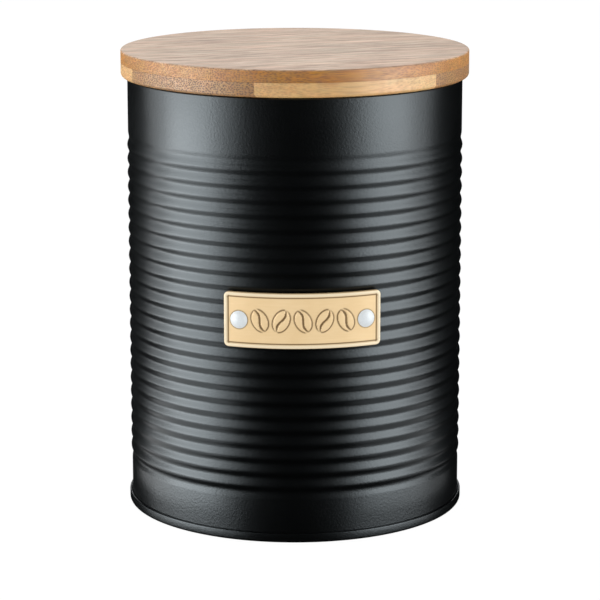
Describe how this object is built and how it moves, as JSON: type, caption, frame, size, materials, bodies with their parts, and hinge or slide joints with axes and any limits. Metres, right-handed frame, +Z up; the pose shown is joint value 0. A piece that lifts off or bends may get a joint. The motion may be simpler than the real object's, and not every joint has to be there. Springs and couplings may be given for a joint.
{
  "type": "coffee tin",
  "caption": "Round ribbed steel coffee canister in satin black with a riveted brass label plate and a flat laminated bamboo lid that plugs into the mouth on a silicone seal.",
  "frame": {"origin": "centre of the footprint, on the surface that the tin stands on", "axes": "+Z up along the tin's axis; the label plate faces -Y; +X to the right when facing the label"},
  "size_m": [0.115, 0.115, 0.153],
  "materials": {
    "black_enamel": "satin black coating, fine orange peel",
    "brass": "pale, lightly polished, embossed",
    "rivet_metal": "bright satin",
    "bamboo_top": "sanded and lightly oiled, fine fibres along the grain",
    "bamboo_lower": "sanded and lightly oiled, caramel tone",
    "bamboo_plug": "sanded",
    "silicone": "translucent, satin"
  },
  "bodies": {
    "tin": {"tin_wall": "black_enamel", "base_panel": "black_enamel", "label_plate": "brass", "rivet_left": "rivet_metal", "rivet_right": "rivet_metal"},
    "seal": {"lid_seal": "silicone"},
    "lid": {"top_strip_1": "bamboo_top", "top_strip_2": "bamboo_top", "top_strip_3": "bamboo_top", "top_strip_4": "bamboo_top", "top_strip_5": "bamboo_top", "top_strip_6": "bamboo_top", "lower_strip_1": "bamboo_lower", "lower_strip_2": "bamboo_lower", "lower_strip_3": "bamboo_lower", "lower_strip_4": "bamboo_lower", "lower_strip_5": "bamboo_lower", "lower_strip_6": "bamboo_lower", "plug_upper_strip_1": "bamboo_plug", "plug_upper_strip_2": "bamboo_plug", "plug_upper_strip_3": "bamboo_plug", "plug_upper_strip_4": "bamboo_plug", "plug_upper_strip_5": "bamboo_plug", "plug_lower_strip_1": "bamboo_plug", "plug_lower_strip_2": "bamboo_plug", "plug_lower_strip_3": "bamboo_plug", "plug_lower_strip_4": "bamboo_plug", "plug_lower_strip_5": "bamboo_plug"}
  },
  "joints": [
    {"name": "lid_lift", "type": "slide", "parent": "tin", "child": "seal", "axis": [0, 0, 1], "range_m": [0, 0.1]},
    {"name": "lid_turn", "type": "hinge", "parent": "seal", "child": "lid", "pos_m": [0, 0, 0.1389], "axis": [0, 0, 1], "continuous": true}
  ]
}
